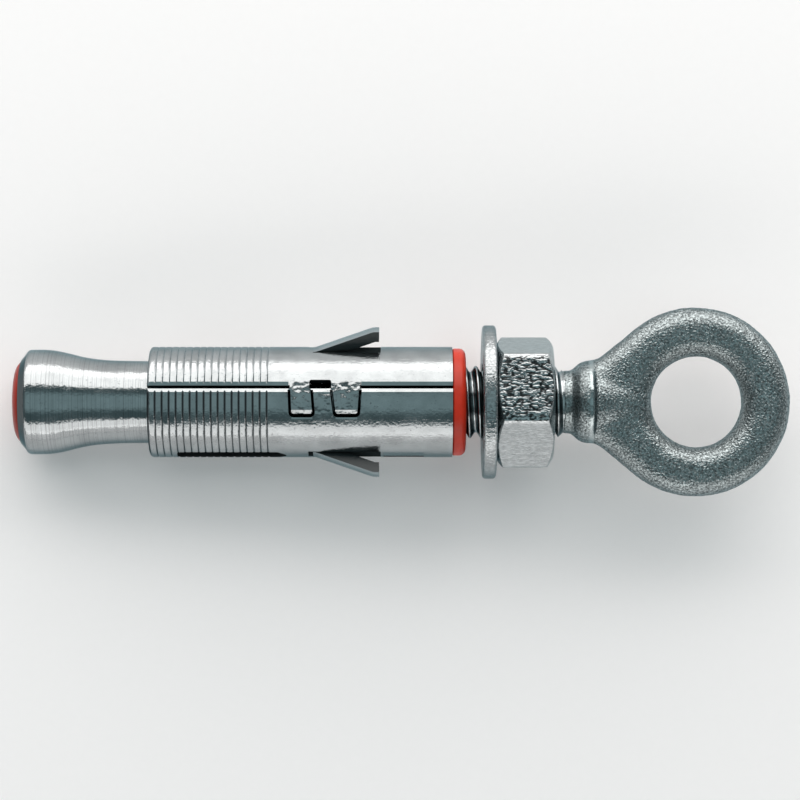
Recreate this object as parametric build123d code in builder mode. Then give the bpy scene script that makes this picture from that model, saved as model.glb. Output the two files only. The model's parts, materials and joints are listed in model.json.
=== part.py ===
from build123d import *
import os
from math import asin, atan2, cos, degrees, hypot, radians, sin, tan

os.makedirs("parts", exist_ok=True)

# An eye anchor for a 15 mm hole, in millimetres. Stations are measured along the anchor from the mouth of
# the sleeve, positive towards the eye. Angles about the anchor are measured from straight up, positive
# towards +Y.

# M10 thread, drawn plain at its crests
thread_diameter = 9.74
thread_clearance = 0.05
thread_end = 14.6
thread_chamfer = 0.9
tip_inset = 6.6

# Cone nut: its stretches follow one another from its open end to its tail
cone_diameter = 14.1
cone_face_diameter = 11.5
cone_crease_diameter = 13.5
cone_chamfer = 0.8
cone_shoulder = 0.8
cone_land = 1.1
cone_throat_diameter = 12.1
cone_flare = 5.6
cone_tail_diameter = 10.9
cone_taper = 10.9
cone_insertion = 1.9
cone_countersink = 0.25

# End plug, pushed into the open end of the cone
plug_diameter = 10.9
plug_dome = 0.85
plug_stem = 3.0
plug_clearance = 0.03

# Expansion sleeve, rolled from sheet
sleeve_diameter = 14.86
sleeve_length = 40.5
sheet = 1.5
sleeve_end_round = 0.5
seam_angle = 15.9
seam_gap = 0.42

# Ring grooves round the legs of the sleeve
groove_count = 17
groove_pitch = 0.924
groove_inset = 1.1
groove_width = 0.36
groove_depth = 0.1

# Slots that part the legs of the sleeve
slot_inset = 3.7
slot_stop = 3.3
slot_width = 2.5
slot_taper = 1.4
slot_round = 0.6

# Fingers that lock the seam: they reach from its upper edge into notches below it
finger_roots = ((-21.55, -19.0), (-16.1, -12.3))
finger_tips = ((-21.35, -18.6), (-15.5, -12.65))
finger_tip_height = -1.53
finger_root_height = 3.2
finger_round = 0.3
finger_gap = 0.38
finger_end_gap = 0.5
arch_rise = 0.97

# Edges of the sheet that the press rolled over: the seam's lips, the fingers' tips and their notches
roll_width = 0.5
roll_notch_width = 0.25
roll_slope = 0.36

# Wings lanced out of the sleeve, which keep it from turning in the hole
wing_angles = (79.5, -80.0)
wing_root = -18.6
wing_tip = -9.8
wing_tip_flat = 0.7
wing_rise = 2.7
wing_sweep = 31.0
wing_bend = 1.4
wing_bend_start = 0.35
wing_gap = 0.22
wing_thinning = 0.02
relief_length = 0.65
relief_width = 1.9

# Coined pad behind one wing
pad_start = -9.2
pad_length = 5.4
pad_sweep = 32.0
pad_depth = 0.2

# Collar ring of soft plastic at the mouth of the sleeve
collar_diameter = 14.4
collar_width = 1.8
collar_round = 0.9
collar_back_round = 0.3

# Washer
washer_diameter = 20.65
washer_bore = 10.5
washer_thickness = 1.8
washer_start = 4.05
washer_round = 0.45

# Hexagon nut
nut_flats = 15.86
nut_height = 7.65
nut_turn = 14.5
nut_face_diameter = 15.2
nut_chamfer_angle = 30.0
nut_countersink = 0.5
nut_seat_gap = 0.02

# Eye bolt, forged in one piece with its shank
neck_diameter = 8.4
bead_start = 16.0
bead_diameter = 11.1
bead_crest = 18.3
bead_end = 18.85
bead_foot = 19.1
fork_diameter = 9.4
fork_end_diameter = 6.0
fork_inset = 0.5
eye_hole = 12.24
eye_hole_offset = 0.15
eye_width = 6.58
eye_thickness = 6.5
eye_land = 1.0
eye_setback = 0.9
flare_setback = 0.35
flare_round = 3.0

# The anchor lies on the rims of its washer and its cone, so its axis rises a little towards the eye
sleeve_radius = sleeve_diameter / 2
bore_radius = sleeve_radius - sheet
thread_radius = thread_diameter / 2
nut_start = washer_start + washer_thickness + nut_seat_gap
eye_radius = eye_hole / 2 + eye_width
eye_centre = bead_foot + eye_setback + eye_radius
eye_end = eye_centre + eye_radius
cone_tail = cone_insertion - sleeve_length
cone_throat = cone_tail - cone_taper
cone_land_end = cone_throat - cone_flare
cone_land_start = cone_land_end - cone_land
cone_crease = cone_land_start - cone_shoulder
cone_end = cone_crease - cone_chamfer
plug_end = cone_end - plug_dome
bolt_tip = cone_end + tip_inset
washer_foot = washer_start + washer_round
rise = atan2((washer_diameter - cone_diameter) / 2, washer_foot - cone_land_start)
mouth_height = washer_diameter / 2 * cos(rise) - washer_foot * sin(rise)
mouth_offset = -(eye_end + plug_end) / 2 * cos(rise)
lie = Plane(
    origin=(mouth_offset, 0, mouth_height),
    x_dir=(cos(rise), 0, sin(rise)),
    z_dir=(-sin(rise), 0, cos(rise)),
)
# Turning about this axis by a positive angle goes the way that the angles about the anchor grow
shaft = Axis(lie.origin, -lie.x_dir)


def outward(angle):
    """The direction away from the anchor's axis at an angle about it."""
    return lie.z_dir * cos(radians(angle)) + lie.y_dir * sin(radians(angle))


def facing(angle):
    """A plane through the anchor's axis, seen from outside at an angle, with x along the anchor."""
    return Plane(origin=lie.origin, x_dir=lie.x_dir, z_dir=outward(angle))


def beside(angle):
    """A plane that holds the anchor's axis, with x along it and y outward at an angle."""
    return Plane(origin=lie.origin, x_dir=lie.x_dir, z_dir=lie.x_dir.cross(outward(angle)))


def across(station):
    """A plane square to the anchor's axis, with x towards +Y and y up."""
    return Plane(origin=lie.origin + lie.x_dir * station, x_dir=lie.y_dir, z_dir=lie.x_dir)


# Cone nut: a land, a trumpet flare and a slim tail that starts inside the sleeve
with BuildPart() as cone_nut:
    with BuildSketch(lie):
        with BuildLine():
            nose = Polyline(
                (cone_end, thread_radius + thread_clearance + cone_countersink),
                (cone_end, cone_face_diameter / 2),
                (cone_crease, cone_crease_diameter / 2),
            )
            shoulder = Spline(
                nose @ 1,
                (cone_land_start, cone_diameter / 2),
                tangents=[(1, 2), (1, 0)],
            )
            land = Line(shoulder @ 1, (cone_land_end, cone_diameter / 2))
            flare = Spline(
                land @ 1,
                (cone_throat, cone_throat_diameter / 2),
                (cone_tail, cone_tail_diameter / 2),
                tangents=[(1, 0), (1, -0.05)],
            )
            Polyline(
                flare @ 1,
                (cone_tail, thread_radius + thread_clearance),
                (cone_end + cone_countersink, thread_radius + thread_clearance),
                nose @ 0,
            )
        make_face()
    revolve(axis=shaft)
cone_nut.part.label = "cone_nut"
export_step(cone_nut.part, "parts/cone_nut.step")

# End plug: a low dome on a short stem
with BuildPart() as end_plug:
    with BuildSketch(lie):
        with BuildLine():
            dome = Spline(
                (plug_end, 0),
                (cone_end, plug_diameter / 2),
                tangents=[(0, 1), (1, 0.5)],
            )
            stem_radius = thread_radius + thread_clearance - plug_clearance
            Polyline(
                dome @ 1,
                (cone_end, stem_radius),
                (cone_end + plug_stem, stem_radius),
                (cone_end + plug_stem, 0),
                dome @ 0,
            )
        make_face()
    revolve(axis=shaft)
end_plug.part.label = "end_plug"
export_step(end_plug.part, "parts/end_plug.step")


# Plain tube that the sleeve is cut from, grooved where the legs grip
with BuildPart() as tube:
    with BuildSketch(lie):
        with Locations((-sleeve_length / 2, bore_radius + sheet / 2)):
            Rectangle(sleeve_length, sheet)
        fillet(vertices().group_by(Axis.X)[0].sort_by(Axis.Y)[-1], sleeve_end_round)
        groove_first = groove_inset - sleeve_length
        with Locations([(groove_first + i * groove_pitch, sleeve_radius) for i in range(groove_count)]):
            Polygon(
                (-groove_width / 2, 0.01),
                (0, -groove_depth),
                (groove_width / 2, 0.01),
                align=None,
                mode=Mode.SUBTRACT,
            )
    revolve(axis=shaft)

# Outlines of the locking fingers, and of the gaps round them, seen from straight above
def finger_outlines(tip_height):
    with BuildSketch() as outlines:
        for (root_left, root_right), (tip_left, tip_right) in zip(finger_roots, finger_tips):
            Polygon(
                (root_left, finger_root_height),
                (tip_left, tip_height),
                (tip_right, tip_height),
                (root_right, finger_root_height),
                align=None,
            )
        fillet(vertices().group_by(Axis.Y)[0], finger_round)
    return outlines.sketch


notch_height = finger_tip_height - finger_end_gap
with BuildSketch() as finger_gaps:
    offset(finger_outlines(notch_height + finger_gap), amount=finger_gap)
    seam_edge = bore_radius * sin(radians(seam_angle))
    with Locations((-sleeve_length / 2, seam_edge)):
        Rectangle(sleeve_length, sleeve_diameter, align=(Align.CENTER, Align.MAX), mode=Mode.INTERSECT)
    add(finger_outlines(finger_tip_height), mode=Mode.SUBTRACT)


def ring_point(radius, angle):
    """A point on a plane square to the axis, at a radius and an angle about the anchor."""
    return Vector(radius * sin(radians(angle)), radius * cos(radians(angle)))


# One rolled edge: the sliver that it takes off the sheet's corner. The edge faces the way that side gives.
def edge_sliver(edge_angle, side, left, right, width):
    sweep = degrees(width / sleeve_radius)
    start = ring_point(sleeve_radius, edge_angle - side * sweep)
    corner = ring_point(sleeve_radius - width * roll_slope, edge_angle)
    beyond = corner + (corner - start) * 0.4
    with BuildPart() as sliver:
        with BuildSketch(across(left)):
            Polygon(start, beyond, ring_point(sleeve_radius + 1, edge_angle), align=None)
        extrude(amount=right - left)
    return sliver.part


# One wing: a strip of the sleeve's own section, swept out of the wall
def wing_solid(angle):
    middle = sleeve_radius - sheet / 2
    with BuildPart() as wing:
        with BuildLine(beside(angle)) as path:
            FilletPolyline(
                (wing_root - relief_length, middle),
                (wing_root + wing_bend_start, middle),
                (wing_tip - wing_tip_flat, middle + wing_rise),
                (wing_tip, middle + wing_rise),
                radius=wing_bend,
            )
        with BuildSketch(across(wing_root - relief_length)):
            with BuildLine():
                first = 90 - angle - wing_sweep / 2
                outer = CenterArc((0, 0), sleeve_radius - wing_thinning, first, wing_sweep)
                inner = CenterArc((0, 0), bore_radius + wing_thinning, first, wing_sweep)
                Line(outer @ 0, inner @ 0)
                Line(outer @ 1, inner @ 1)
            make_face()
        sweep(path=path.wire())
    return wing.part


# Expansion sleeve: the tube with its seam, locking fingers, slots, wings and pad
with BuildPart() as expansion_sleeve:
    add(tube.part)
    seam_stops = [-sleeve_length - 1, *finger_roots[0], *finger_roots[1], 1]
    for left, right in zip(seam_stops[0::2], seam_stops[1::2]):
        with BuildSketch(facing(seam_angle)):
            with Locations((left, 0)):
                Rectangle(right - left, seam_gap, align=(Align.MIN, Align.CENTER))
        extrude(amount=sleeve_radius + 1, mode=Mode.SUBTRACT)
    with BuildSketch(facing(0)):
        add(finger_gaps.sketch)
    extrude(amount=sleeve_radius + 1, mode=Mode.SUBTRACT)
    with BuildSketch(facing(seam_angle)):
        arch_left, arch_right = finger_roots[0][1], finger_roots[1][0]
        with Locations(((arch_left + arch_right) / 2, 0)):
            Rectangle(arch_right - arch_left, arch_rise, align=(Align.CENTER, Align.MIN))
        fillet(vertices().group_by(Axis.Y)[-1], finger_round)
    extrude(amount=sleeve_radius + 1, mode=Mode.SUBTRACT)
    for quarter in (1, 2, 3):
        with BuildSketch(facing(seam_angle + 90 * quarter)):
            with BuildLine():
                start = slot_inset - sleeve_length
                end = wing_root - slot_stop
                Polyline(
                    (start, -slot_width / 2),
                    (end - slot_taper, -slot_width / 2),
                    (end, 0),
                    (end - slot_taper, slot_width / 2),
                    (start, slot_width / 2),
                    close=True,
                )
            make_face()
            fillet(vertices(), slot_round)
        extrude(amount=sleeve_radius + 1, mode=Mode.SUBTRACT)
    for angle in wing_angles:
        window_sweep = wing_sweep + 2 * degrees(wing_gap / sleeve_radius)
        with BuildSketch(beside(angle - window_sweep / 2)):
            with Locations(((wing_root + wing_tip + wing_gap) / 2, sleeve_radius - sheet / 2)):
                Rectangle(wing_tip + wing_gap - wing_root, sheet + 1)
        revolve(axis=shaft, revolution_arc=window_sweep, mode=Mode.SUBTRACT)
        add(wing_solid(angle))
        with BuildSketch(facing(angle)):
            side = sleeve_radius * sin(radians(wing_sweep / 2))
            with Locations((wing_root - relief_length, side + wing_gap)):
                Rectangle(relief_length, relief_width, align=(Align.MIN, Align.MAX))
        extrude(amount=sleeve_radius + 1, mode=Mode.SUBTRACT)
    with BuildSketch(beside(wing_angles[1] - pad_sweep / 2)):
        with Locations((pad_start + pad_length / 2, sleeve_radius - pad_depth + sheet / 2)):
            Rectangle(pad_length, sheet)
    revolve(axis=shaft, revolution_arc=pad_sweep, mode=Mode.SUBTRACT)
    lip = degrees(asin(seam_gap / 2 / sleeve_radius))
    lip_left = finger_roots[0][0] - finger_gap / 2
    lip_right = finger_roots[1][1] + finger_gap / 2
    for left, right in ((-sleeve_length - 1, lip_left), (lip_right, 1)):
        add(edge_sliver(seam_angle - lip, 1, left, right, roll_width), mode=Mode.SUBTRACT)
        add(edge_sliver(seam_angle + lip, -1, left, right, roll_width), mode=Mode.SUBTRACT)
    sill = edge_sliver(seam_angle - lip, 1, arch_left + finger_gap / 2, arch_right, roll_width)
    add(sill, mode=Mode.SUBTRACT)
    for left, right in finger_tips:
        tip_angle = degrees(asin(finger_tip_height / sleeve_radius))
        notch_angle = degrees(asin(notch_height / sleeve_radius))
        add(edge_sliver(tip_angle, -1, left - 0.1, right + 0.1, roll_width), mode=Mode.SUBTRACT)
        add(edge_sliver(notch_angle, 1, left, right, roll_notch_width), mode=Mode.SUBTRACT)
expansion_sleeve.part.label = "expansion_sleeve"
export_step(expansion_sleeve.part, "parts/expansion_sleeve.step")

# Collar ring
with BuildPart() as collar_ring:
    with BuildSketch(lie):
        inner = thread_radius + thread_clearance
        outer = collar_diameter / 2
        with Locations((collar_width / 2, (inner + outer) / 2)):
            Rectangle(collar_width, outer - inner)
        fillet(vertices().group_by(Axis.Y)[-1].sort_by(Axis.X)[-1], collar_round)
        fillet(vertices().group_by(Axis.Y)[-1].sort_by(Axis.X)[0], collar_back_round)
    revolve(axis=shaft)
collar_ring.part.label = "collar_ring"
export_step(collar_ring.part, "parts/collar_ring.step")

# Washer, stamped, with its left rim rounded by the punch
with BuildPart() as washer:
    with BuildSketch(lie):
        inner = washer_bore / 2
        outer = washer_diameter / 2
        with Locations((washer_start + washer_thickness / 2, (inner + outer) / 2)):
            Rectangle(washer_thickness, outer - inner)
        fillet(vertices().group_by(Axis.Y)[-1], washer_round)
    revolve(axis=shaft)
washer.part.label = "washer"
export_step(washer.part, "parts/washer.step")

# Hexagon nut, chamfered on both ends
with BuildPart() as hex_nut:
    with BuildSketch(across(nut_start)):
        RegularPolygon(nut_flats / 2, 6, major_radius=False, rotation=-nut_turn)
    extrude(amount=nut_height)
    with BuildSketch(lie):
        with BuildLine():
            face_radius = nut_face_diameter / 2
            corner = nut_flats / 2 / cos(radians(30)) + 0.1
            slope = (corner - face_radius) * tan(radians(nut_chamfer_angle))
            Polyline(
                (nut_start, 0),
                (nut_start, face_radius),
                (nut_start + slope, corner),
                (nut_start + nut_height - slope, corner),
                (nut_start + nut_height, face_radius),
                (nut_start + nut_height, 0),
                close=True,
            )
        make_face()
    revolve(axis=shaft, mode=Mode.INTERSECT)
    with BuildSketch(lie):
        with BuildLine():
            bore = thread_radius + thread_clearance
            Polyline(
                (nut_start, 0),
                (nut_start, bore + nut_countersink),
                (nut_start + nut_countersink, bore),
                (nut_start + nut_height - nut_countersink, bore),
                (nut_start + nut_height, bore + nut_countersink),
                (nut_start + nut_height, 0),
                close=True,
            )
        make_face()
    revolve(axis=shaft, mode=Mode.SUBTRACT)
hex_nut.part.label = "hex_nut"
export_step(hex_nut.part, "parts/hex_nut.step")

# Eye bolt: threaded shank, neck, bead, fork and ring in one forging
with BuildPart() as eye_bolt:
    with BuildSketch(lie):
        half_neck = bead_diameter / 2
        bend = bead_foot + flare_setback
        reach = hypot(eye_centre - bend, half_neck)
        flare = asin(eye_radius / reach) - atan2(half_neck, eye_centre - bend)
        touch = (eye_centre - eye_radius * sin(flare), eye_radius * cos(flare))
        Polygon(
            (bead_crest, half_neck),
            (bend, half_neck),
            touch,
            (touch[0], -touch[1]),
            (bend, -half_neck),
            (bead_crest, -half_neck),
            align=None,
        )
        with Locations((eye_centre, 0)):
            Circle(eye_radius)
        bends = vertices().filter_by_position(Axis.X, bend - 0.1, bend + 0.1)
        fillet(bends, flare_round)
        with Locations((eye_centre + eye_hole_offset, 0)):
            Circle(eye_hole / 2, mode=Mode.SUBTRACT)
    extrude(amount=eye_thickness / 2, both=True)
    flats = faces().filter_by(Axis(lie.origin, lie.z_dir))
    rims = flats.edges().filter_by(Axis(lie.origin, lie.y_dir), reverse=True)
    fillet(rims, (eye_thickness - eye_land) / 2)
    with BuildSketch(lie):
        with BuildLine():
            shank = Polyline(
                (bolt_tip, 0),
                (bolt_tip, thread_radius - thread_chamfer),
                (bolt_tip + thread_chamfer, thread_radius),
                (thread_end, thread_radius),
                (thread_end + (thread_diameter - neck_diameter) / 2, neck_diameter / 2),
                (bead_start, neck_diameter / 2),
            )
            bead = Spline(
                shank @ 1,
                (bead_crest, bead_diameter / 2),
                tangents=[(1, 1), (1, 0)],
            )
            Polyline(
                bead @ 1,
                (bead_end, bead_diameter / 2),
                (bead_foot, fork_diameter / 2),
                (eye_centre - eye_hole / 2 - fork_inset, fork_end_diameter / 2),
                (eye_centre - eye_hole / 2 - fork_inset, 0),
                shank @ 0,
            )
        make_face()
    revolve(axis=shaft)
eye_bolt.part.label = "eye_bolt"
export_step(eye_bolt.part, "parts/eye_bolt.step")
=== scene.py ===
"""Eye anchor: a forged eye bolt with its nut and washer, run through an expansion sleeve into a cone nut.

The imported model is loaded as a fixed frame. Pieces whose solid shape is right keep it and get their
finish here; the nut, the forged eye and the thread are built anew round the same sizes.
"""

import json
import math

import bmesh
import bpy
from bpy.props import FloatProperty, FloatVectorProperty, IntProperty, PointerProperty
from mathutils import Matrix, Vector, noise


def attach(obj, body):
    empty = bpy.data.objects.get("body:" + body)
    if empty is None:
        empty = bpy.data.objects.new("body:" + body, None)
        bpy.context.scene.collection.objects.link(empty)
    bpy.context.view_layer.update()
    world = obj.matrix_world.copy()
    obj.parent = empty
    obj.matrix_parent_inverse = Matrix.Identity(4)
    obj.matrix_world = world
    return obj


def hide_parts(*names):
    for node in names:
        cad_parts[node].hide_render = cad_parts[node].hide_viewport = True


bl_info = {
    "name": "Eye anchor",
    "version": (1, 0, 0),
    "blender": (4, 5, 0),
    "location": "3D View > Sidebar > Anchor",
    "description": "Builds the finished look of an expansion anchor with a forged eye",
    "category": "Add Mesh",
}

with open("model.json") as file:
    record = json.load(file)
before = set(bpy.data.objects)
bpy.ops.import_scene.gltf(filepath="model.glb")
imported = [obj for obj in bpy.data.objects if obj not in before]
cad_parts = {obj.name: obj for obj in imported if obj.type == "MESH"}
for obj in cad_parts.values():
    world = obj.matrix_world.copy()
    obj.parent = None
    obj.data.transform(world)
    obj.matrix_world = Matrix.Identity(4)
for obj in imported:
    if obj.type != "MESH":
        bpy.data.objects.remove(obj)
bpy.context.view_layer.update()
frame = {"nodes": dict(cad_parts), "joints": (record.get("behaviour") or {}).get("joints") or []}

MM = 0.001

# Specular tints that darken the reflections of plated metal towards its rims, as painted shade.
ZINC_RIM_PAINTED_SHADE = (0.44, 0.57, 0.61, 1)
NUT_RIM_PAINTED_SHADE = (0.7, 0.79, 0.81, 1)


def anchor_matrix():
    """Millimetres along the anchor from the sleeve's mouth, across it and up, to the frame's metres."""
    turn = next(j for j in frame["joints"] if j["name"] == "bolt_turn")
    along = Vector(turn["axis"]).normalized()
    across = Vector((0, 1, 0))
    up = along.cross(across)
    rotation = Matrix((along, across, up)).transposed().to_4x4()
    return Matrix.Translation(Vector(turn["pos_m"])) @ rotation @ Matrix.Scale(MM, 4)


ANCHOR = anchor_matrix()
RISE = math.atan2(ANCHOR[2][0], ANCHOR[0][0])


class AnchorSizes(bpy.types.PropertyGroup):
    """Sizes that a user would change, in millimetres; stations count from the sleeve's mouth to the eye."""

    crest_diameter: FloatProperty(
        name="Thread crest", description="Diameter over the crests of the thread", default=9.74, min=5, max=10
    )
    root_diameter: FloatProperty(
        name="Thread root", description="Diameter at the bottom of the thread", default=8.16, min=4, max=9.5
    )
    pitch: FloatProperty(
        name="Thread pitch", description="Travel of the nut for one turn", default=1.5, min=0.5, max=3
    )
    thread_start: FloatProperty(
        name="Thread start", description="Station of the bolt's tip", default=-51.2, min=-60, max=0
    )
    thread_end: FloatProperty(
        name="Thread end", description="Station where the thread runs out", default=14.85, min=5, max=20
    )
    nut_start: FloatProperty(
        name="Nut start", description="Station of the nut's seat on the washer", default=5.87, min=2, max=12
    )
    nut_height: FloatProperty(
        name="Nut height", description="Height of the nut", default=7.65, min=4, max=12
    )
    nut_flats: FloatProperty(
        name="Nut across flats", description="Width of the nut across two flats",
        default=15.86, min=10, max=24
    )
    nut_face: FloatProperty(
        name="Nut face", description="Diameter of the nut's round end faces", default=15.2, min=10, max=16
    )
    nut_turn: FloatProperty(
        name="Nut turn", description="Turn of the nut about the bolt", subtype="ANGLE",
        default=math.radians(14.5), min=0, max=math.radians(60)
    )
    edge_round: FloatProperty(
        name="Nut edge round", description="Radius of the nut's six long edges",
        default=0.22, min=0.02, max=1
    )
    edge_wear: FloatProperty(
        name="Nut edge wear", description="Depth by which the flats fall off towards their edges",
        default=0.075, min=0, max=0.3
    )
    forging_voxel: FloatProperty(
        name="Forging detail", description="Size of the smallest form on the eye",
        default=0.24, min=0.15, max=1
    )


class AnchorColours(bpy.types.PropertyGroup):
    """Colours that a user would change, and the seed of the random dents."""

    bright: FloatVectorProperty(
        name="Bright steel", description="Zinc plate on turned and rolled steel", subtype="COLOR", size=4,
        default=(0.402, 0.42, 0.427, 1), min=0, max=1
    )
    forged: FloatVectorProperty(
        name="Forged steel", description="Zinc plate on the grainy forging", subtype="COLOR", size=4,
        default=(0.272, 0.302, 0.306, 1), min=0, max=1
    )
    plastic: FloatVectorProperty(
        name="Red plastic", description="Soft plastic of the collar and the plug", subtype="COLOR", size=4,
        default=(0.5, 0.026, 0.008, 1), min=0, max=1
    )
    floor: FloatVectorProperty(
        name="Floor", description="Paper that the anchor lies on", subtype="COLOR", size=4,
        default=(0.965, 0.935, 0.935, 1), min=0, max=1
    )
    seed: IntProperty(
        name="Seed", description="Fixed start of the forging's dents", default=7, min=0, max=1000
    )


def new_piece(name, mesh, body, node, material):
    """A finished piece: its mesh goes into the frame's metres, and it rides on a body."""
    mesh.transform(ANCHOR)
    mesh.update()
    piece = bpy.data.objects.new(name, mesh)
    bpy.context.scene.collection.objects.link(piece)
    mesh.materials.clear()
    mesh.materials.append(material)
    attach(piece, body)
    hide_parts(node)
    return piece


def applied(obj, name):
    """The evaluated mesh of an object as a plain mesh; the object is removed."""
    depsgraph = bpy.context.evaluated_depsgraph_get()
    mesh = bpy.data.meshes.new_from_object(obj.evaluated_get(depsgraph))
    mesh.name = name
    bpy.data.objects.remove(obj)
    return mesh


def scratch_object(name, mesh):
    """An object for modifiers to work on before its mesh is applied."""
    obj = bpy.data.objects.new(name, mesh)
    bpy.context.scene.collection.objects.link(obj)
    return obj


def weighted(mesh, name):
    """The mesh with normals that follow its large faces, so small rounds don't shade the flats."""
    obj = scratch_object(name, mesh)
    modifier = obj.modifiers.new("Weighted", "WEIGHTED_NORMAL")
    modifier.mode = "FACE_AREA"
    modifier.weight = 50
    return applied(obj, name)


def ring_mesh(name, columns):
    """A closed mesh from columns of points set round an axis; each column is closed on itself."""
    bm = bmesh.new()
    verts = [[bm.verts.new(point) for point in column] for column in columns]
    for a, b in zip(verts, verts[1:] + verts[:1]):
        for j in range(len(a)):
            k = (j + 1) % len(a)
            bm.faces.new((a[j], a[k], b[k], b[j]))
    bmesh.ops.recalc_face_normals(bm, faces=bm.faces)
    for face in bm.faces:
        face.smooth = True
    mesh = bpy.data.meshes.new(name)
    bm.to_mesh(mesh)
    bm.free()
    return mesh


def socket_group(name, inputs, outputs):
    """A shader node group with its inputs (name, type, default) and its outputs (name, type)."""
    group = bpy.data.node_groups.new(name, "ShaderNodeTree")
    for label, kind, default in inputs:
        socket = group.interface.new_socket(name=label, in_out="INPUT", socket_type=kind)
        if default is not None:
            socket.default_value = default
    for label, kind in outputs:
        group.interface.new_socket(name=label, in_out="OUTPUT", socket_type=kind)
    return group, group.nodes.new("NodeGroupInput"), group.nodes.new("NodeGroupOutput")


def node(tree, kind, **values):
    """A node with its properties and input values set; a socket as a value is linked."""
    made = tree.nodes.new(kind)
    for key, value in values.items():
        if key.startswith("in_"):
            label = key[3:]
            socket = made.inputs[int(label)] if label.isdigit() else made.inputs[label.replace("_", " ")]
            if isinstance(value, bpy.types.NodeSocket):
                tree.links.new(value, socket)
            else:
                socket.default_value = value
        else:
            setattr(made, key, value)
    return made


def maths(tree, operation, a, b=0.0):
    """One step of arithmetic; returns its output."""
    return node(tree, "ShaderNodeMath", operation=operation, in_0=a, in_1=b).outputs[0]


def off_from(tree, value, centre):
    """How far a value lies from a centre, to either side."""
    return maths(tree, "ABSOLUTE", maths(tree, "SUBTRACT", value, centre))


def ramp(tree, value, low, high, out_low=0.0, out_high=1.0):
    """A value mapped from one range to another and held inside it."""
    return node(
        tree, "ShaderNodeMapRange", clamp=True, in_0=value, in_1=low, in_2=high, in_3=out_low, in_4=out_high
    ).outputs[0]


def fade(tree, value, low, high):
    """A mask that is 1 up to the low end of a range and falls to 0 at its high end."""
    return ramp(tree, value, low, high, 1.0, 0.0)


def mix(tree, factor, a, b):
    """Two colours mixed by a factor."""
    made = node(tree, "ShaderNodeMix", data_type="RGBA")
    for index, value in ((0, factor), (6, a), (7, b)):
        if isinstance(value, bpy.types.NodeSocket):
            tree.links.new(value, made.inputs[index])
        else:
            made.inputs[index].default_value = value
    return made.outputs[2]


def object_normal(tree):
    """The three parts of the surface's direction in object coordinates."""
    place = node(tree, "ShaderNodeTexCoord")
    return node(tree, "ShaderNodeSeparateXYZ", in_0=place.outputs["Normal"]).outputs


def along_anchor(tree, stretch=(1, 1, 1)):
    """Object coordinates turned into millimetres along the anchor, across it and up, and then stretched."""
    place = node(tree, "ShaderNodeTexCoord")
    origin = ANCHOR.inverted() @ Vector((0, 0, 0))
    turned = node(
        tree, "ShaderNodeMapping", in_Vector=place.outputs["Object"], in_Rotation=(0, RISE, 0),
        in_Location=origin, in_Scale=(1 / MM, 1 / MM, 1 / MM),
    )
    if stretch == (1, 1, 1):
        return turned.outputs[0]
    return node(tree, "ShaderNodeMapping", in_Vector=turned.outputs[0], in_Scale=stretch).outputs[0]


def plating_group():
    """Zinc plate: soft cloudy patches, small pits and fine scratches as masks, and specks as a height."""
    group, inside, outside = socket_group(
        "Zinc plate",
        [
            ("Vector", "NodeSocketVector", None),
            ("Cloud Size", "NodeSocketFloat", 0.35),
            ("Pit Size", "NodeSocketFloat", 3.0),
            ("Scratch Size", "NodeSocketFloat", 6.0),
        ],
        [("Clouds", "NodeSocketFloat"), ("Pits", "NodeSocketFloat"), ("Scratches", "NodeSocketFloat"),
         ("Specks", "NodeSocketFloat")],
    )
    vector = inside.outputs["Vector"]
    clouds = node(group, "ShaderNodeTexNoise", in_Vector=vector, in_Scale=inside.outputs["Cloud Size"],
                  in_Detail=4.0, in_Roughness=0.6)
    pits = node(group, "ShaderNodeTexNoise", in_Vector=vector, in_Scale=inside.outputs["Pit Size"],
                in_Detail=3.0, in_Roughness=0.7)
    long_way = node(group, "ShaderNodeMapping", in_Vector=vector, in_Scale=(0.06, 1.0, 1.0))
    scratches = node(group, "ShaderNodeTexNoise", in_Vector=long_way.outputs[0],
                     in_Scale=inside.outputs["Scratch Size"], in_Detail=2.0, in_Roughness=0.5)
    specks = node(group, "ShaderNodeTexNoise", in_Vector=vector, in_Scale=inside.outputs["Pit Size"],
                  in_Detail=1.0, in_Roughness=0.5)
    links = group.links
    links.new(specks.outputs[0], outside.inputs["Specks"])
    links.new(ramp(group, clouds.outputs[0], 0.35, 0.65), outside.inputs["Clouds"])
    links.new(ramp(group, pits.outputs[0], 0.62, 0.72), outside.inputs["Pits"])
    links.new(ramp(group, scratches.outputs[0], 0.55, 0.75), outside.inputs["Scratches"])
    return group


def turning_group():
    """Fine rings left by a turning tool, as a height along the anchor."""
    group, inside, outside = socket_group(
        "Turning rings",
        [("Vector", "NodeSocketVector", None), ("Rings per mm", "NodeSocketFloat", 6.0)],
        [("Height", "NodeSocketFloat")],
    )
    flat = node(group, "ShaderNodeMapping", in_Vector=inside.outputs["Vector"], in_Scale=(1.0, 0.0, 0.0))
    rings = node(group, "ShaderNodeTexNoise", in_Vector=flat.outputs[0],
                 in_Scale=inside.outputs["Rings per mm"], in_Detail=3.0, in_Roughness=0.65)
    group.links.new(rings.outputs[0], outside.inputs["Height"])
    return group


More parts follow.
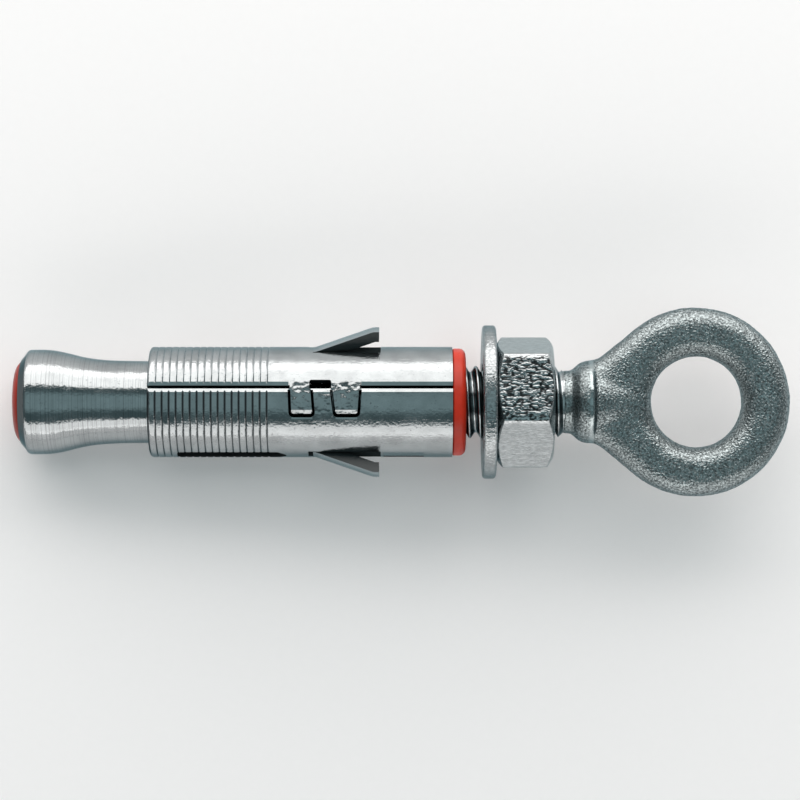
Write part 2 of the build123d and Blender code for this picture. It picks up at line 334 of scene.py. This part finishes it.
def grain_group():
    """Coarse grain under the plate of a forged or pressed part: speckle and height."""
    group, inside, outside = socket_group(
        "Forged grain",
        [("Vector", "NodeSocketVector", None), ("Grain Size", "NodeSocketFloat", 3.2)],
        [("Speckle", "NodeSocketFloat"), ("Height", "NodeSocketFloat")],
    )
    vector = inside.outputs["Vector"]
    size = inside.outputs["Grain Size"]
    grains = node(group, "ShaderNodeTexNoise", in_Vector=vector, in_Scale=size, in_Detail=1.0,
                  in_Roughness=0.5)
    shifted = node(group, "ShaderNodeMapping", in_Vector=vector, in_Location=(37.0, 11.0, 5.0))
    spots = node(group, "ShaderNodeTexNoise", in_Vector=shifted.outputs[0], in_Scale=size, in_Detail=2.0,
                 in_Roughness=0.6)
    group.links.new(ramp(group, spots.outputs[0], 0.36, 0.64), outside.inputs["Speckle"])
    group.links.new(grains.outputs[0], outside.inputs["Height"])
    return group


def cut_face_group():
    """Where a sheet's sheared walls and inside are: faces that don't look straight away from the axis."""
    group, inside, outside = socket_group(
        "Cut faces", [("Vector", "NodeSocketVector", None)], [("Mask", "NodeSocketFloat")]
    )
    place = node(group, "ShaderNodeSeparateXYZ", in_0=inside.outputs["Vector"]).outputs
    away = node(group, "ShaderNodeCombineXYZ", in_0=0.0, in_1=place[1], in_2=place[2])
    away = node(group, "ShaderNodeVectorMath", operation="NORMALIZE", in_0=away.outputs[0])
    coords = node(group, "ShaderNodeTexCoord")
    level = node(group, "ShaderNodeMapping", vector_type="NORMAL", in_Vector=coords.outputs["Normal"],
                 in_Rotation=(0, RISE, 0))
    facing = node(group, "ShaderNodeVectorMath", operation="DOT_PRODUCT", in_0=away.outputs[0],
                  in_1=level.outputs[0])
    group.links.new(fade(group, facing.outputs["Value"], 0.3, 0.85), outside.inputs["Mask"])
    return group


def shared_groups():
    """The node groups that the finishes share, built once."""
    made = bpy.data.node_groups
    return {
        "plate": made.get("Zinc plate") or plating_group(),
        "rings": made.get("Turning rings") or turning_group(),
        "grain": made.get("Forged grain") or grain_group(),
        "sheared_dull_and_painted_shade": made.get("Cut faces") or cut_face_group(),
    }


def group_node(tree, group, **values):
    """A shared group placed in a material with its own values."""
    made = tree.nodes.new("ShaderNodeGroup")
    made.node_tree = group
    for key, value in values.items():
        socket = made.inputs[key.replace("_", " ")]
        if isinstance(value, bpy.types.NodeSocket):
            tree.links.new(value, socket)
        else:
            socket.default_value = value
    return made


def principled(name):
    """A new material and its Principled shader."""
    material = bpy.data.materials.new(name)
    material.use_nodes = True
    return material, material.node_tree, material.node_tree.nodes["Principled BSDF"]


def plated(shader, rim=ZINC_RIM_PAINTED_SHADE):
    """Metal through and through, its reflections darkened towards its rims by a tint, as painted shade."""
    shader.inputs["Metallic"].default_value = 1.0
    shader.inputs["Specular Tint"].default_value = rim


def shaded(colour, factor):
    """A colour made darker or lighter by a factor, and opaque."""
    return tuple(min(1.0, c * factor) for c in colour[:3]) + (1.0,)


def bump(tree, height, distance, strength=1.0, normal=None):
    """A bump of a given depth in millimetres, on top of another where one is given."""
    made = node(tree, "ShaderNodeBump", in_Height=height, in_Distance=distance * MM, in_Strength=strength)
    if normal is not None:
        tree.links.new(normal, made.inputs["Normal"])
    return made.outputs[0]


def turned_steel(name, colour, rings, depth, rough):
    """Zinc on turned steel: rings round the axis, clouds and pits, and a painted dark reflection on the bevel
    at the far end.
    """
    groups = shared_groups()
    material, tree, shader = principled(name)
    vector = along_anchor(tree)
    plate = group_node(tree, groups["plate"], Vector=vector, Cloud_Size=0.3, Pit_Size=2.2, Scratch_Size=3.0)
    lines = group_node(tree, groups["rings"], Vector=vector, Rings_per_mm=rings)
    tint = mix(tree, plate.outputs["Clouds"], shaded(colour, 0.88), shaded(colour, 1.05))
    tint = mix(tree, maths(tree, "MULTIPLY", plate.outputs["Pits"], 0.5), tint, shaded(colour, 0.35))
    dull = maths(tree, "MULTIPLY", fade(tree, lines.outputs["Height"], 0.35, 0.5), 0.8)
    tint = mix(tree, dull, tint, shaded(colour, 0.5))
    # Painted reflection: the bevel at the far end is darkened to stand for a dark reflection.
    painted_reflection_chamfer = fade(tree, object_normal(tree)[0], -0.72, -0.55)
    tint = mix(tree, painted_reflection_chamfer, tint, shaded(colour, 0.25))
    tree.links.new(tint, shader.inputs["Base Color"])
    plated(shader)
    glossy = maths(tree, "ADD", ramp(tree, plate.outputs["Clouds"], 0, 1, rough - 0.03, rough + 0.04),
                   maths(tree, "MULTIPLY", plate.outputs["Scratches"], 0.06))
    tree.links.new(glossy, shader.inputs["Roughness"])
    ringed = bump(tree, lines.outputs["Height"], depth)
    dented = bump(tree, plate.outputs["Specks"], 0.022, 1.0, ringed)
    tree.links.new(dented, shader.inputs["Normal"])
    return material


def radius_of(tree, vector):
    """Distance from the anchor's axis in millimetres."""
    outward = node(tree, "ShaderNodeMapping", in_Vector=vector, in_Scale=(0, 1, 1))
    return node(tree, "ShaderNodeVectorMath", operation="LENGTH", in_0=outward.outputs[0]).outputs["Value"]


def groove_painted_shade(tree, vector):
    """Painted shade in the bottoms of the sleeve's ring grooves, on the side of the seam that takes the
    fingers.
    """
    groove_radius = (7.345, 7.4)
    seam_lip = (1.2, 1.35)
    grooves_end = (-24.4, -24.2)
    place = node(tree, "ShaderNodeSeparateXYZ", in_0=vector).outputs
    sunk = fade(tree, radius_of(tree, vector), *groove_radius)
    below_seam = fade(tree, place[1], *seam_lip)
    grooved = fade(tree, place[0], *grooves_end)
    return maths(tree, "MULTIPLY", sunk, maths(tree, "MULTIPLY", below_seam, grooved))


def seam_dents(tree, vector):
    """Height of the shallow dents that the press left round the two locked fingers."""
    blow = (-17.1, 0.3)
    half_length = (4.6, 5.4)
    half_width = (1.7, 2.4)
    place = node(tree, "ShaderNodeSeparateXYZ", in_0=vector).outputs
    along = fade(tree, off_from(tree, place[0], blow[0]), *half_length)
    across = fade(tree, off_from(tree, place[1], blow[1]), *half_width)
    near = maths(tree, "MULTIPLY", along, across)
    dents = node(tree, "ShaderNodeTexNoise", in_Vector=vector, in_Scale=1.1, in_Detail=1.0, in_Roughness=0.4)
    return maths(tree, "MULTIPLY", near, maths(tree, "SUBTRACT", dents.outputs[0], 0.5))


def sleeve_steel(name, colour, rough):
    """Zinc on rolled sheet: bright and a little mottled outside, with a painted highlight on each wing; dull
    and dark where it was sheared and on its inside, partly as painted shade; painted shade in the grooves
    below the seam.
    """
    wing_radius = (7.5, 7.7)
    groups = shared_groups()
    material, tree, shader = principled(name)
    vector = along_anchor(tree)
    plate = group_node(tree, groups["plate"], Vector=vector, Cloud_Size=0.35, Pit_Size=2.8, Scratch_Size=5.0)
    sheared_dull_and_painted_shade = group_node(tree, groups["sheared_dull_and_painted_shade"], Vector=vector).outputs["Mask"]
    tint = mix(tree, plate.outputs["Clouds"], shaded(colour, 0.85), shaded(colour, 1.05))
    tint = mix(tree, maths(tree, "MULTIPLY", plate.outputs["Pits"], 0.6), tint, shaded(colour, 0.3))
    # Painted highlight: each wing's outer face is made lighter.
    wing_painted_highlight = ramp(tree, radius_of(tree, vector), *wing_radius)
    tint = mix(tree, wing_painted_highlight, tint, shaded(colour, 1.25))
    # Sheared walls and the sleeve's inside are darkened: partly duller sheared steel, partly painted shade
    # where these faces lie in shadow.
    tint = mix(tree, sheared_dull_and_painted_shade, tint, shaded(colour, 0.22))
    # Painted shade in the ring grooves below the seam.
    tint = mix(tree, groove_painted_shade(tree, vector), tint, shaded(colour, 0.2))
    tree.links.new(tint, shader.inputs["Base Color"])
    plated(shader)
    glossy = maths(tree, "ADD", ramp(tree, plate.outputs["Clouds"], 0, 1, rough - 0.03, rough + 0.05),
                   maths(tree, "MULTIPLY", sheared_dull_and_painted_shade, 0.25))
    tree.links.new(glossy, shader.inputs["Roughness"])
    pressed = bump(tree, seam_dents(tree, vector), 0.26)
    wavy = bump(tree, plate.outputs["Clouds"], 0.02, 0.5, pressed)
    dented = bump(tree, plate.outputs["Specks"], 0.02, 1.0, wavy)
    tree.links.new(bump(tree, plate.outputs["Scratches"], 0.006, 0.6, dented), shader.inputs["Normal"])
    return material


def streaked_steel(name, colour, rough, depth, stretch=(1, 1, 1), rim=ZINC_RIM_PAINTED_SHADE, coarse_face=False):
    """Zinc on a pressed part: short raised streaks, which can be deeper and dark-specked on the face that
    faces up.
    """
    groups = shared_groups()
    material, tree, shader = principled(name)
    vector = along_anchor(tree)
    plate = group_node(tree, groups["plate"], Vector=vector, Cloud_Size=0.5, Pit_Size=3.0, Scratch_Size=4.5)
    streaks = group_node(tree, groups["grain"], Vector=along_anchor(tree, stretch), Grain_Size=3.0)
    tint = mix(tree, streaks.outputs["Speckle"], shaded(colour, 0.8), shaded(colour, 1.1))
    tint = mix(tree, maths(tree, "MULTIPLY", plate.outputs["Scratches"], 0.3), tint, shaded(colour, 0.6))
    height = streaks.outputs["Height"]
    plated(shader, rim)
    if coarse_face:
        # Dark specks only on the face that faces up.
        facing_up_mask = ramp(tree, object_normal(tree)[2], 0.8, 0.93)
        pits = maths(tree, "MULTIPLY", facing_up_mask, fade(tree, height, 0.44, 0.52))
        tint = mix(tree, pits, tint, shaded(colour, 0.12))
        height = maths(tree, "MULTIPLY", height, ramp(tree, facing_up_mask, 0, 1, 0.3, 1.2))
    tree.links.new(tint, shader.inputs["Base Color"])
    tree.links.new(ramp(tree, plate.outputs["Clouds"], 0, 1, rough - 0.03, rough + 0.04),
                   shader.inputs["Roughness"])
    raised = bump(tree, height, depth)
    tree.links.new(bump(tree, plate.outputs["Scratches"], 0.012, 0.7, raised), shader.inputs["Normal"])
    return material


def forged_steel(name, colour, size, depth, rough, ridge):
    """Dull zinc on a forging: speckled and grainy, smoother at the neck, and worn smooth on one ridge that is
    also painted lighter as a highlight.
    """
    ridge_edge = (0.16, 0.45)
    neck_end = (17.2, 19.6)
    groups = shared_groups()
    material, tree, shader = principled(name)
    vector = along_anchor(tree)
    grain = group_node(tree, groups["grain"], Vector=vector, Grain_Size=size)
    plate = group_node(tree, groups["plate"], Vector=vector, Cloud_Size=0.3, Pit_Size=1.4, Scratch_Size=3.0)
    station = node(tree, "ShaderNodeSeparateXYZ", in_0=vector).outputs[0]
    rubbed_and_painted_highlight = fade(tree, off_from(tree, station, ridge), *ridge_edge)
    tint = mix(tree, grain.outputs["Speckle"], shaded(colour, 0.32), shaded(colour, 1.7))
    tint = mix(tree, maths(tree, "MULTIPLY", plate.outputs["Clouds"], 0.4), tint, shaded(colour, 0.8))
    # Painted highlight: the worn, smoother ridge is also made lighter.
    tint = mix(tree, rubbed_and_painted_highlight, tint, shaded(colour, 1.6))
    tree.links.new(tint, shader.inputs["Base Color"])
    plated(shader)
    grainy = ramp(tree, grain.outputs["Speckle"], 0, 1, rough + 0.08, rough - 0.05)
    tree.links.new(maths(tree, "SUBTRACT", grainy, maths(tree, "MULTIPLY", rubbed_and_painted_highlight, 0.1)),
                   shader.inputs["Roughness"])
    coarseness = ramp(tree, station, *neck_end, 0.4, 1.0)
    coarseness = maths(tree, "SUBTRACT", coarseness, maths(tree, "MULTIPLY", rubbed_and_painted_highlight, 0.6))
    height = maths(tree, "MULTIPLY", grain.outputs["Height"], coarseness)
    tree.links.new(bump(tree, height, depth), shader.inputs["Normal"])
    return material


def soft_plastic(name, colour):
    """Soft red plastic: satin, with faint clouds and a slight sheen."""
    groups = shared_groups()
    material, tree, shader = principled(name)
    vector = along_anchor(tree)
    plate = group_node(tree, groups["plate"], Vector=vector, Cloud_Size=0.25, Pit_Size=2.0, Scratch_Size=2.0)
    tint = mix(tree, plate.outputs["Clouds"], shaded(colour, 0.8), shaded(colour, 1.1))
    tree.links.new(tint, shader.inputs["Base Color"])
    tree.links.new(ramp(tree, plate.outputs["Clouds"], 0, 1, 0.34, 0.44), shader.inputs["Roughness"])
    shader.inputs["Specular IOR Level"].default_value = 0.35
    tree.links.new(bump(tree, plate.outputs["Pits"], 0.01, 0.5), shader.inputs["Normal"])
    return material


def dress(node_name, material):
    """A CAD node that keeps its shape gets a finish."""
    obj = frame["nodes"][node_name]
    obj.material_slots[0].material = material


class ANCHOR_OT_stage(bpy.types.Operator):
    """Floor, lights and camera."""

    bl_idname = "anchor.stage"
    bl_label = "Stage"

    def execute(self, context):
        scene = context.scene
        scene.view_settings.view_transform = "Standard"
        self.floor(scene.anchor_colours.floor)
        self.lights()
        self.world(scene)
        self.camera(scene)
        return {"FINISHED"}

    def floor(self, colour):
        """A sheet of pale paper, a hair below the anchor."""
        half = 1.5
        gap = 0.00002
        mesh = bpy.data.meshes.new("floor")
        mesh.from_pydata([(-half, -half, 0), (half, -half, 0), (half, half, 0), (-half, half, 0)], [],
                         [(0, 1, 2, 3)])
        obj = bpy.data.objects.new("floor", mesh)
        obj.location.z = -gap
        bpy.context.scene.collection.objects.link(obj)
        material, tree, shader = principled("Pale paper")
        paper = node(tree, "ShaderNodeTexCoord")
        fibres = node(tree, "ShaderNodeTexNoise", in_Vector=paper.outputs["Object"], in_Scale=900.0,
                      in_Detail=2.0)
        tint = mix(tree, fibres.outputs[0], shaded(colour, 0.985), tuple(colour))
        tree.links.new(tint, shader.inputs["Base Color"])
        shader.inputs["Roughness"].default_value = 0.9
        shader.inputs["Specular IOR Level"].default_value = 0.1
        mesh.materials.append(material)

    def softbox(self, name, angle, distance, width, length, power):
        """An area lamp over the anchor, at an angle from straight up towards +Y."""
        data = bpy.data.lights.new(name, "AREA")
        data.shape = "RECTANGLE"
        data.size = length
        data.size_y = width
        data.energy = power
        data.color = (1.0, 0.965, 0.94)
        lamp = bpy.data.objects.new(name, data)
        away = Vector((0, math.sin(math.radians(angle)), math.cos(math.radians(angle))))
        lamp.location = away * distance
        lamp.rotation_euler = (-math.radians(angle), 0, 0)
        bpy.context.scene.collection.objects.link(lamp)

    def lights(self):
        """Two long softboxes that the metal mirrors, and a key lamp that it doesn't."""
        self.softbox("softbox_back", angle=63.5, distance=0.6, width=0.572, length=1.5, power=6.0)
        self.softbox("softbox_front", angle=-60.5, distance=0.6, width=0.266, length=1.5, power=1.9)
        self.softbox("key", angle=34.0, distance=0.7, width=0.6, length=0.9, power=2.1)
        bpy.data.objects["key"].visible_glossy = False

    def world(self, scene):
        """A dim room: a faint panel overhead, dark strips on both sides of it, pale walls and dark ends."""
        panel, strip = (0.29, 0.41, 0.43, 1), (0.085, 0.135, 0.145, 1)
        wall, end = (0.95, 0.95, 0.94, 1), (0.12, 0.16, 0.17, 1)
        world = bpy.data.worlds.new("Studio")
        scene.world = world
        world.use_nodes = True
        tree = world.node_tree
        sky = tree.nodes["Background"]
        place = node(tree, "ShaderNodeTexCoord")
        split = node(tree, "ShaderNodeSeparateXYZ", in_0=place.outputs["Generated"]).outputs
        tilt = maths(tree, "ABSOLUTE", maths(tree, "ARCTAN2", split[1], split[2]))
        strips = ramp(tree, tilt, math.radians(15), math.radians(27))
        walls = ramp(tree, tilt, math.radians(66), math.radians(76))
        ends = ramp(tree, maths(tree, "ABSOLUTE", split[0]), 0.4, 0.8)
        tint = mix(tree, strips, panel, strip)
        tint = mix(tree, walls, tint, wall)
        tint = mix(tree, ends, tint, end)
        tree.links.new(tint, sky.inputs["Color"])
        sky.inputs["Strength"].default_value = 1.0

    def camera(self, scene):
        """A camera square to the anchor's axis; the picture is 800 pixels wide."""
        data = bpy.data.cameras.new("camera")
        distance = 385.0
        pixels_per_mm = 7.43
        picture = 800
        aim = (-7.0, 0.27)
        data.sensor_width = 36.0
        data.lens = pixels_per_mm * distance / picture * data.sensor_width
        data.clip_start = 0.01
        data.clip_end = 10
        obj = bpy.data.objects.new("camera", data)
        scene.collection.objects.link(obj)
        obj.location = ANCHOR @ Vector((*aim, distance))
        obj.rotation_euler = (0, -RISE, 0)
        scene.camera = obj


class ANCHOR_OT_plastic(bpy.types.Operator):
    """Collar ring and end plug in soft red plastic."""

    bl_idname = "anchor.plastic"
    bl_label = "Collar and plug"

    def execute(self, context):
        colour = context.scene.anchor_colours.plastic
        dress("collar_ring", soft_plastic("Collar plastic", colour))
        # Painted shade: the plug gets the collar's plastic darkened to 0.55.
        dress("end_plug", soft_plastic("Plug plastic", shaded(colour, 0.55)))
        return {"FINISHED"}


class ANCHOR_OT_turned(bpy.types.Operator):
    """Cone nut and washer in bright zinc on turned and stamped steel."""

    bl_idname = "anchor.turned"
    bl_label = "Cone and washer"

    def execute(self, context):
        colour = context.scene.anchor_colours.bright
        dress("cone_nut", turned_steel("Turned cone", colour, rings=5.0, depth=0.02, rough=0.13))
        dress("washer", streaked_steel("Stamped washer", colour, rough=0.22, depth=0.08))
        return {"FINISHED"}


class ANCHOR_OT_sleeve(bpy.types.Operator):
    """Expansion sleeve in bright zinc on rolled sheet."""

    bl_idname = "anchor.sleeve"
    bl_label = "Expansion sleeve"

    def execute(self, context):
        colour = context.scene.anchor_colours.bright
        dress("expansion_sleeve", sleeve_steel("Rolled sheet", colour, rough=0.17))
        return {"FINISHED"}


class ANCHOR_OT_nut(bpy.types.Operator):
    """Hexagon nut with rounded edges, chamfered crowns and countersunk bore."""

    bl_idname = "anchor.nut"
    bl_label = "Hexagon nut"

    def execute(self, context):
        sizes = context.scene.anchor_sizes
        mesh = weighted(self.shape(sizes), "hexagon_nut")
        # Painted light: the nut's zinc is the bright steel lightened by 1.22.
        colour = shaded(context.scene.anchor_colours.bright, 1.22)
        material = streaked_steel("Nut zinc", colour, rough=0.13, depth=0.08, stretch=(0.5, 1, 1),
                                  rim=NUT_RIM_PAINTED_SHADE, coarse_face=True)
        new_piece("hexagon_nut", mesh, "nut", "hex_nut", material)
        return {"FINISHED"}

    def reach(self, angle, sizes):
        """How far the nut's side stands from the axis at an angle in degrees, with its long edges rounded."""
        flat = sizes.nut_flats / 2
        corner = math.radians(30)
        off = math.radians(abs((angle + 30) % 60 - 30))
        worn_width = 1.0
        from_edge = flat * (math.tan(corner) - math.tan(off))
        worn = sizes.edge_wear * max(0.0, 1 - from_edge / worn_width) ** 2
        plain = (flat - worn) / math.cos(off)
        centre = (flat - sizes.edge_wear - sizes.edge_round) / math.cos(corner)
        from_corner = corner - off
        inside = sizes.edge_round**2 - (centre * math.sin(from_corner)) ** 2
        if inside <= 0:
            return plain
        arc = centre * math.cos(from_corner) + math.sqrt(inside)
        return min(plain, arc)

    def shape(self, sizes):
        """Columns of points round the axis, each from the bore over both crowns and back."""
        steps = 360
        clearance = 0.05
        bore = sizes.crest_diameter / 2 + clearance
        face = sizes.nut_face / 2
        low = sizes.nut_start
        high = low + sizes.nut_height
        sink, lead, lip, tuck = 0.5, 0.12, 0.03, 0.02
        slope = math.tan(math.radians(30))
        columns = []
        for i in range(steps):
            angle = 360 * i / steps
            reach = self.reach(angle, sizes)
            drop = max(0.0, (reach - face) * slope)
            ring = min(reach, face)
            half = [(high - sink, bore), (high, bore + sink), (high, ring - lead), (high - lip, ring)]
            for k in (0.33, 0.66):
                half.append((high - lip - (drop - lip) * k, ring + (reach - ring) * k))
            half += [(high - drop - lip, reach - tuck), (high - drop - lead, reach)]
            profile = half + [(low + high - u, r) for u, r in reversed(half)]
            turn = math.radians(angle) + sizes.nut_turn
            columns.append([(u, r * math.sin(turn), r * math.cos(turn)) for u, r in profile])
        return ring_mesh("nut", columns)


class ANCHOR_OT_thread(bpy.types.Operator):
    """Threaded shank of the eye bolt, made by geometry nodes."""

    bl_idname = "anchor.thread"
    bl_label = "Thread"

    def execute(self, context):
        sizes = context.scene.anchor_sizes
        run_out = 0.35
        colour = context.scene.anchor_colours.bright
        material = self.finish(sizes, shaded(colour, 0.95))
        tree = self.tree()
        obj = scratch_object("thread", bpy.data.meshes.new("thread"))
        modifier = obj.modifiers.new("Thread", "NODES")
        modifier.node_group = tree
        values = {
            "Start": sizes.thread_start,
            "Length": sizes.thread_end - sizes.thread_start + run_out,
            "Run Out": run_out,
            "Pitch": sizes.pitch,
            "Crest Radius": sizes.crest_diameter / 2,
            "Root Radius": sizes.root_diameter / 2,
            "Material": material,
        }
        for item in tree.interface.items_tree:
            if item.item_type == "SOCKET" and item.in_out == "INPUT" and item.name in values:
                modifier[item.identifier] = values[item.name]
        mesh = applied(obj, "threaded_shank")
        new_piece("threaded_shank", mesh, "bolt", "eye_bolt", material)
        return {"FINISHED"}

    def finish(self, sizes, colour):
        """Painted light and shade: crests and roots lighter, flanks much darker."""
        flank_half = (0.22, 0.37)
        material, tree, shader = principled("Thread zinc")
        vector = along_anchor(tree)
        plate = group_node(tree, shared_groups()["plate"], Vector=vector, Cloud_Size=0.4, Pit_Size=2.5)
        middle = (sizes.root_diameter + sizes.crest_diameter) / 4
        # Crests and roots painted lighter, flanks painted darker as shade.
        crests_roots_painted_light = ramp(tree, off_from(tree, radius_of(tree, vector), middle), *flank_half)
        tint = mix(tree, crests_roots_painted_light, shaded(colour, 0.25), shaded(colour, 1.25))
        tint = mix(tree, maths(tree, "MULTIPLY", plate.outputs["Pits"], 0.6), tint, shaded(colour, 0.3))
        tree.links.new(tint, shader.inputs["Base Color"])
        plated(shader)
        tree.links.new(ramp(tree, plate.outputs["Clouds"], 0, 1, 0.16, 0.24), shader.inputs["Roughness"])
        tree.links.new(bump(tree, plate.outputs["Specks"], 0.02), shader.inputs["Normal"])
        return material

    def tree(self):
        """A grid rolled into a shank, its radius rising and falling along a right-handed helix."""
        tip_chamfer, pole, weld = 0.4, 0.05, 0.001
        tree = bpy.data.node_groups.new("Threaded shank", "GeometryNodeTree")
        face = tree.interface
        for label, default in (("Start", 0.0), ("Length", 60.0), ("Pitch", 1.5), ("Crest Radius", 4.87),
                               ("Root Radius", 4.08), ("Neck Radius", 4.15), ("Run Out", 0.35),
                               ("Crest Share", 0.16), ("Root Share", 0.2)):
            face.new_socket(name=label, in_out="INPUT", socket_type="NodeSocketFloat").default_value = default
        face.new_socket(name="Rows", in_out="INPUT", socket_type="NodeSocketInt").default_value = 540
        face.new_socket(name="Steps", in_out="INPUT", socket_type="NodeSocketInt").default_value = 73
        face.new_socket(name="Material", in_out="INPUT", socket_type="NodeSocketMaterial")
        face.new_socket(name="Mesh", in_out="OUTPUT", socket_type="NodeSocketGeometry")
        given = tree.nodes.new("NodeGroupInput").outputs

        def step(operation, a, b=0.0):
            return maths(tree, operation, a, b)

        grid = node(tree, "GeometryNodeMeshGrid", in_0=given["Length"], in_1=1.0, in_2=given["Rows"],
                    in_3=given["Steps"])
        spot = tree.nodes.new("GeometryNodeInputPosition").outputs[0]
        place = node(tree, "ShaderNodeSeparateXYZ", in_0=spot).outputs
        run = step("ADD", place[0], step("MULTIPLY", given["Length"], 0.5))
        left = step("SUBTRACT", given["Length"], run)
        turn = step("MULTIPLY", step("ADD", place[1], 0.5), math.tau)
        turns = step("ADD", step("DIVIDE", run, given["Pitch"]), step("DIVIDE", turn, math.tau))
        off_crest = step("ABSOLUTE", step("SUBTRACT", step("MULTIPLY", step("FRACT", turns), 2.0), 1.0))
        root_edge = step("SUBTRACT", 1.0, given["Root Share"])
        radius = ramp(tree, off_crest, given["Crest Share"], root_edge,
                      given["Crest Radius"], given["Root Radius"])
        tip = step("SUBTRACT", given["Root Radius"], tip_chamfer)
        radius = step("MINIMUM", radius, step("ADD", run, tip))
        slope = step("MAXIMUM", step("SUBTRACT", left, given["Run Out"]), 0.0)
        radius = step("MINIMUM", radius, step("ADD", given["Neck Radius"], slope))
        inner = step("GREATER_THAN", step("MINIMUM", run, left), pole)
        radius = step("MULTIPLY", radius, inner)
        point = node(
            tree, "ShaderNodeCombineXYZ", in_0=step("ADD", given["Start"], run),
            in_1=step("MULTIPLY", radius, step("SINE", turn)),
            in_2=step("MULTIPLY", radius, step("COSINE", turn)),
        )
        rolled = node(tree, "GeometryNodeSetPosition", in_Geometry=grid.outputs["Mesh"],
                      in_Position=point.outputs[0])
        closed = node(tree, "GeometryNodeMergeByDistance", in_Geometry=rolled.outputs[0], in_Distance=weld)
        smooth = node(tree, "GeometryNodeSetShadeSmooth", in_0=closed.outputs[0])
        real = node(tree, "GeometryNodeRealizeInstances", in_0=smooth.outputs[0])
        coated = node(tree, "GeometryNodeSetMaterial", in_Geometry=real.outputs[0],
                      in_Material=given["Material"])
        tree.links.new(coated.outputs[0], tree.nodes.new("NodeGroupOutput").inputs[0])
        return tree


class ANCHOR_OT_forging(bpy.types.Operator):
    """Forged eye, fork, bead and neck of the bolt, with soft forms and a grainy skin."""

    bl_idname = "anchor.forging"
    bl_label = "Forged eye"

    def execute(self, context):
        sizes = context.scene.anchor_sizes
        overlap = 0.05
        mesh = self.rough_copy(sizes.thread_end - overlap)
        obj = scratch_object("forging", mesh)
        remesh = obj.modifiers.new("Remesh", "REMESH")
        remesh.mode = "VOXEL"
        remesh.voxel_size = sizes.forging_voxel
        remesh.use_smooth_shade = True
        smooth = obj.modifiers.new("Smooth", "SMOOTH")
        smooth.factor = 0.5
        smooth.iterations = 8
        mesh = self.soften_fork(applied(obj, "forging"))
        self.hammer(mesh, context.scene.anchor_colours.seed)
        colour = context.scene.anchor_colours.forged
        material = forged_steel("Forged zinc", colour, size=3.7, depth=0.14, rough=0.3, ridge=18.6)
        new_piece("forged_eye", mesh, "bolt", "eye_bolt", material)
        return {"FINISHED"}

    def soften_fork(self, mesh):
        """Wears the creases where the neck spreads into the eye, in height only, so the outline stays."""
        near, far, edge = 19.2, 30.0, 1.8
        obj = scratch_object("fork", mesh)
        group = obj.vertex_groups.new(name="fork")
        for vert in mesh.vertices:
            inside = min(vert.co.x - near, far - vert.co.x) / edge
            if inside > 0:
                group.add([vert.index], min(1.0, inside), "REPLACE")
        smooth = obj.modifiers.new("Smooth", "SMOOTH")
        smooth.vertex_group = group.name
        smooth.use_x = False
        smooth.use_y = False
        smooth.iterations = 90
        return applied(obj, "forged_eye")

    def rough_copy(self, cut):
        """The eye bolt's solid from the neck on, closed at the cut and slimmed where it meets the thread."""
        neck_radius, neck_end, weld = 4.2, 16.0, 0.001
        mesh = frame["nodes"]["eye_bolt"].data.copy()
        mesh.transform(ANCHOR.inverted())
        bm = bmesh.new()
        bm.from_mesh(mesh)
        bmesh.ops.remove_doubles(bm, verts=bm.verts, dist=weld)
        parts = list(bm.verts) + list(bm.edges) + list(bm.faces)
        bmesh.ops.bisect_plane(bm, geom=parts, plane_co=(cut, 0, 0), plane_no=(1, 0, 0), clear_inner=True)
        rim = [edge for edge in bm.edges if edge.is_boundary]
        bmesh.ops.holes_fill(bm, edges=rim, sides=0)
        for vert in bm.verts:
            radius = math.hypot(vert.co.y, vert.co.z)
            if vert.co.x < neck_end and radius > neck_radius:
                vert.co.y *= neck_radius / radius
                vert.co.z *= neck_radius / radius
        bm.to_mesh(mesh)
        bm.free()
        return mesh

    def hammer(self, mesh, seed):
        """Small dents and swells of the forging, a few hundredths of a millimetre deep."""
        broad_size, broad_depth = 0.45, 0.06
        fine_size, fine_depth = 1.6, 0.035
        start = Vector((seed * 13.7, seed * 5.1, seed * 9.3))
        moved = []
        for vert in mesh.vertices:
            broad = noise.noise(vert.co * broad_size + start)
            fine = noise.noise(vert.co * fine_size + start)
            moved.append(vert.co + vert.normal * (broad_depth * broad + fine_depth * fine))
        for vert, spot in zip(mesh.vertices, moved):
            vert.co = spot
        mesh.update()


class ANCHOR_PT_panel(bpy.types.Panel):
    """Buttons for the anchor's pieces."""

    bl_idname = "ANCHOR_PT_panel"
    bl_label = "Eye anchor"
    bl_space_type = "VIEW_3D"
    bl_region_type = "UI"
    bl_category = "Anchor"

    def draw(self, context):
        layout = self.layout
        for operator in OPERATORS:
            layout.operator(operator.bl_idname)
        for group in (context.scene.anchor_sizes, context.scene.anchor_colours):
            box = layout.box()
            for name in group.__annotations__:
                box.prop(group, name)


OPERATORS = (
    ANCHOR_OT_stage,
    ANCHOR_OT_plastic,
    ANCHOR_OT_turned,
    ANCHOR_OT_sleeve,
    ANCHOR_OT_nut,
    ANCHOR_OT_thread,
    ANCHOR_OT_forging,
)
CLASSES = (AnchorSizes, AnchorColours, *OPERATORS, ANCHOR_PT_panel)


def register():
    """Adds the classes and the two groups of settings."""
    for cls in CLASSES:
        bpy.utils.register_class(cls)
    bpy.types.Scene.anchor_sizes = PointerProperty(type=AnchorSizes)
    bpy.types.Scene.anchor_colours = PointerProperty(type=AnchorColours)


def unregister():
    """Takes the settings and the classes away again."""
    del bpy.types.Scene.anchor_colours
    del bpy.types.Scene.anchor_sizes
    for cls in reversed(CLASSES):
        bpy.utils.unregister_class(cls)


def main():
    """Builds the stage and every piece."""
    register()
    bpy.ops.anchor.stage()
    bpy.ops.anchor.plastic()
    bpy.ops.anchor.turned()
    bpy.ops.anchor.sleeve()
    bpy.ops.anchor.nut()
    bpy.ops.anchor.thread()
    bpy.ops.anchor.forging()


if __name__ == "__main__":
    main()
